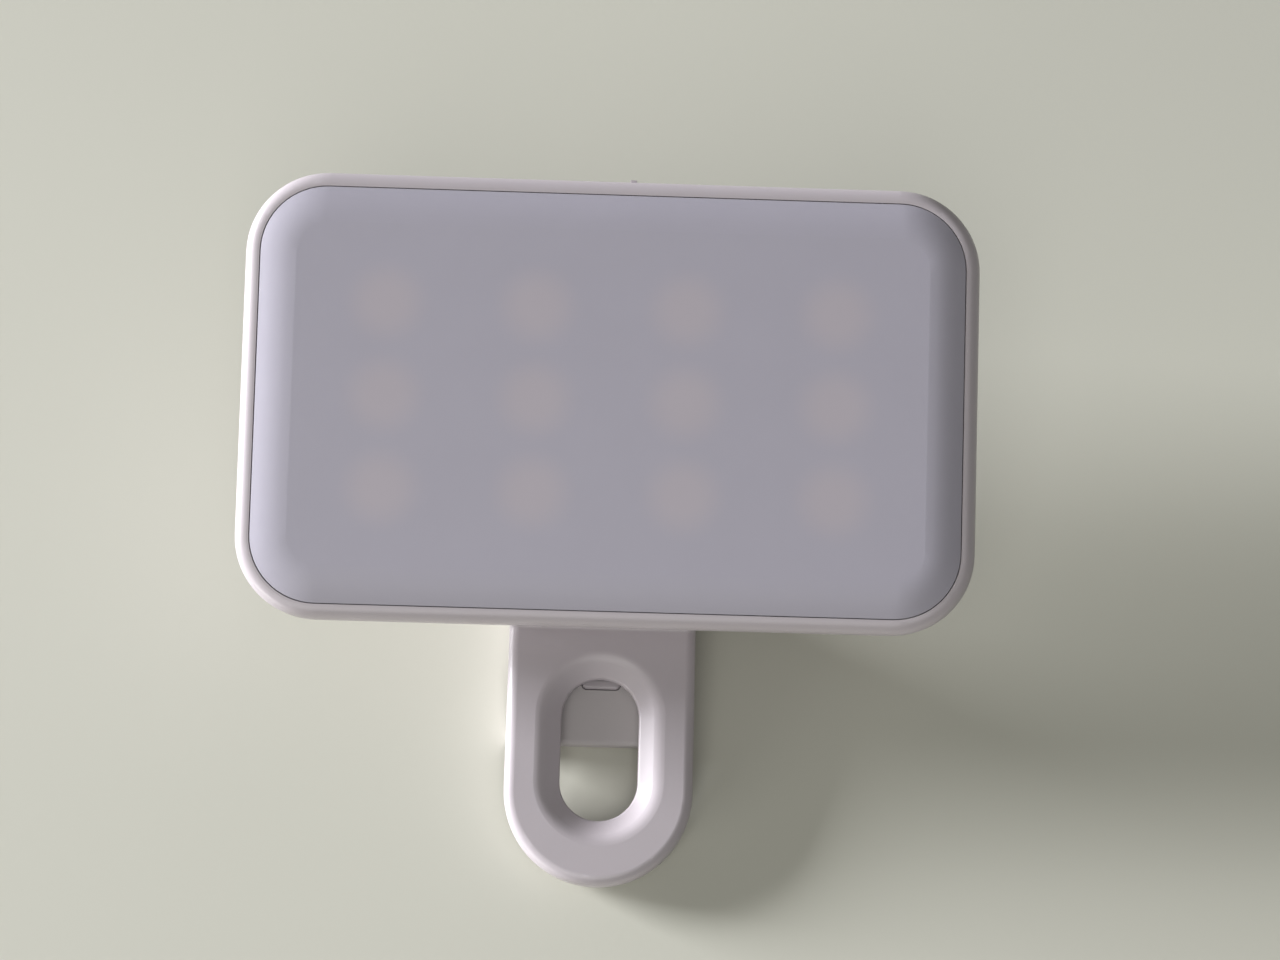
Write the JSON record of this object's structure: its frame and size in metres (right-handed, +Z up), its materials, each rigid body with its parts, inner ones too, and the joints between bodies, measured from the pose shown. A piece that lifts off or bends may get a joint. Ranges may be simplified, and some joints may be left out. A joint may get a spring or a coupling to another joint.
{
  "type": "clip-on selfie fill light",
  "caption": "Flat rectangular fill light with an opal window on a sprung clip whose front jaw has a camera hole.",
  "frame": {"origin": "middle of the base of the box around the light, on the surface that it rests on", "axes": "+X along the head's long side, +Y towards the head's top edge, +Z up from the surface"},
  "size_m": [0.101, 0.0928, 0.0406],
  "materials": {
    "shell": "satin moulded white",
    "opal": "satin opal",
    "silicone": "matt white silicone",
    "steel": "plain",
    "plated_steel": "nickel plated",
    "white_board": "white solder mask",
    "green_board": "green solder mask",
    "phosphor": "phosphor gel",
    "cell_foil": "laminated foil",
    "foam": "foam tape",
    "red_insulation": "wire insulation",
    "black_plastic": "moulded",
    "clear_rod": "clear"
  },
  "bodies": {
    "head": {"battery": "cell_foil", "battery_lead_black": "black_plastic", "battery_lead_red": "red_insulation", "battery_tape": "foam", "board_screws": "steel", "clip_screws": "steel", "control_board": "green_board", "diffuser": "opal", "front_bezel": "shell", "front_jaw": "shell", "front_pad": "silicone", "hinge_pin": "steel", "indicator_led": "phosphor", "indicator_window": "clear_rod", "led_board": "white_board", "led_r1c1": "phosphor", "led_r1c2": "phosphor", "led_r1c3": "phosphor", "led_r1c4": "phosphor", "led_r2c1": "phosphor", "led_r2c2": "phosphor", "led_r2c3": "phosphor", "led_r2c4": "phosphor", "led_r3c1": "phosphor", "led_r3c2": "phosphor", "led_r3c3": "phosphor", "led_r3c4": "phosphor", "link_header": "black_plastic", "rear_cover": "shell", "tactile_switch": "black_plastic", "torsion_spring": "steel", "usb_shell": "plated_steel", "usb_tongue": "black_plastic"},
    "rear_clip": {"rear_jaw": "shell", "rear_pad": "silicone"},
    "button": {"power_button": "shell"}
  },
  "joints": [
    {"name": "clip_hinge", "type": "hinge", "parent": "head", "child": "rear_clip", "pos_m": [0, -0.00484, 0.00643], "axis": [1, 0, 0], "range_deg": [0, 29], "stiffness_Nm_per_rad": 0.08, "springref_deg": -17.19, "deforming": ["torsion_spring"]},
    {"name": "button_press", "type": "slide", "parent": "head", "child": "button", "axis": [0, -0.9566, -0.2913], "range_m": [0, 0.0004], "stiffness_N_per_m": 2500, "springref_m": -0.0003}
  ]
}
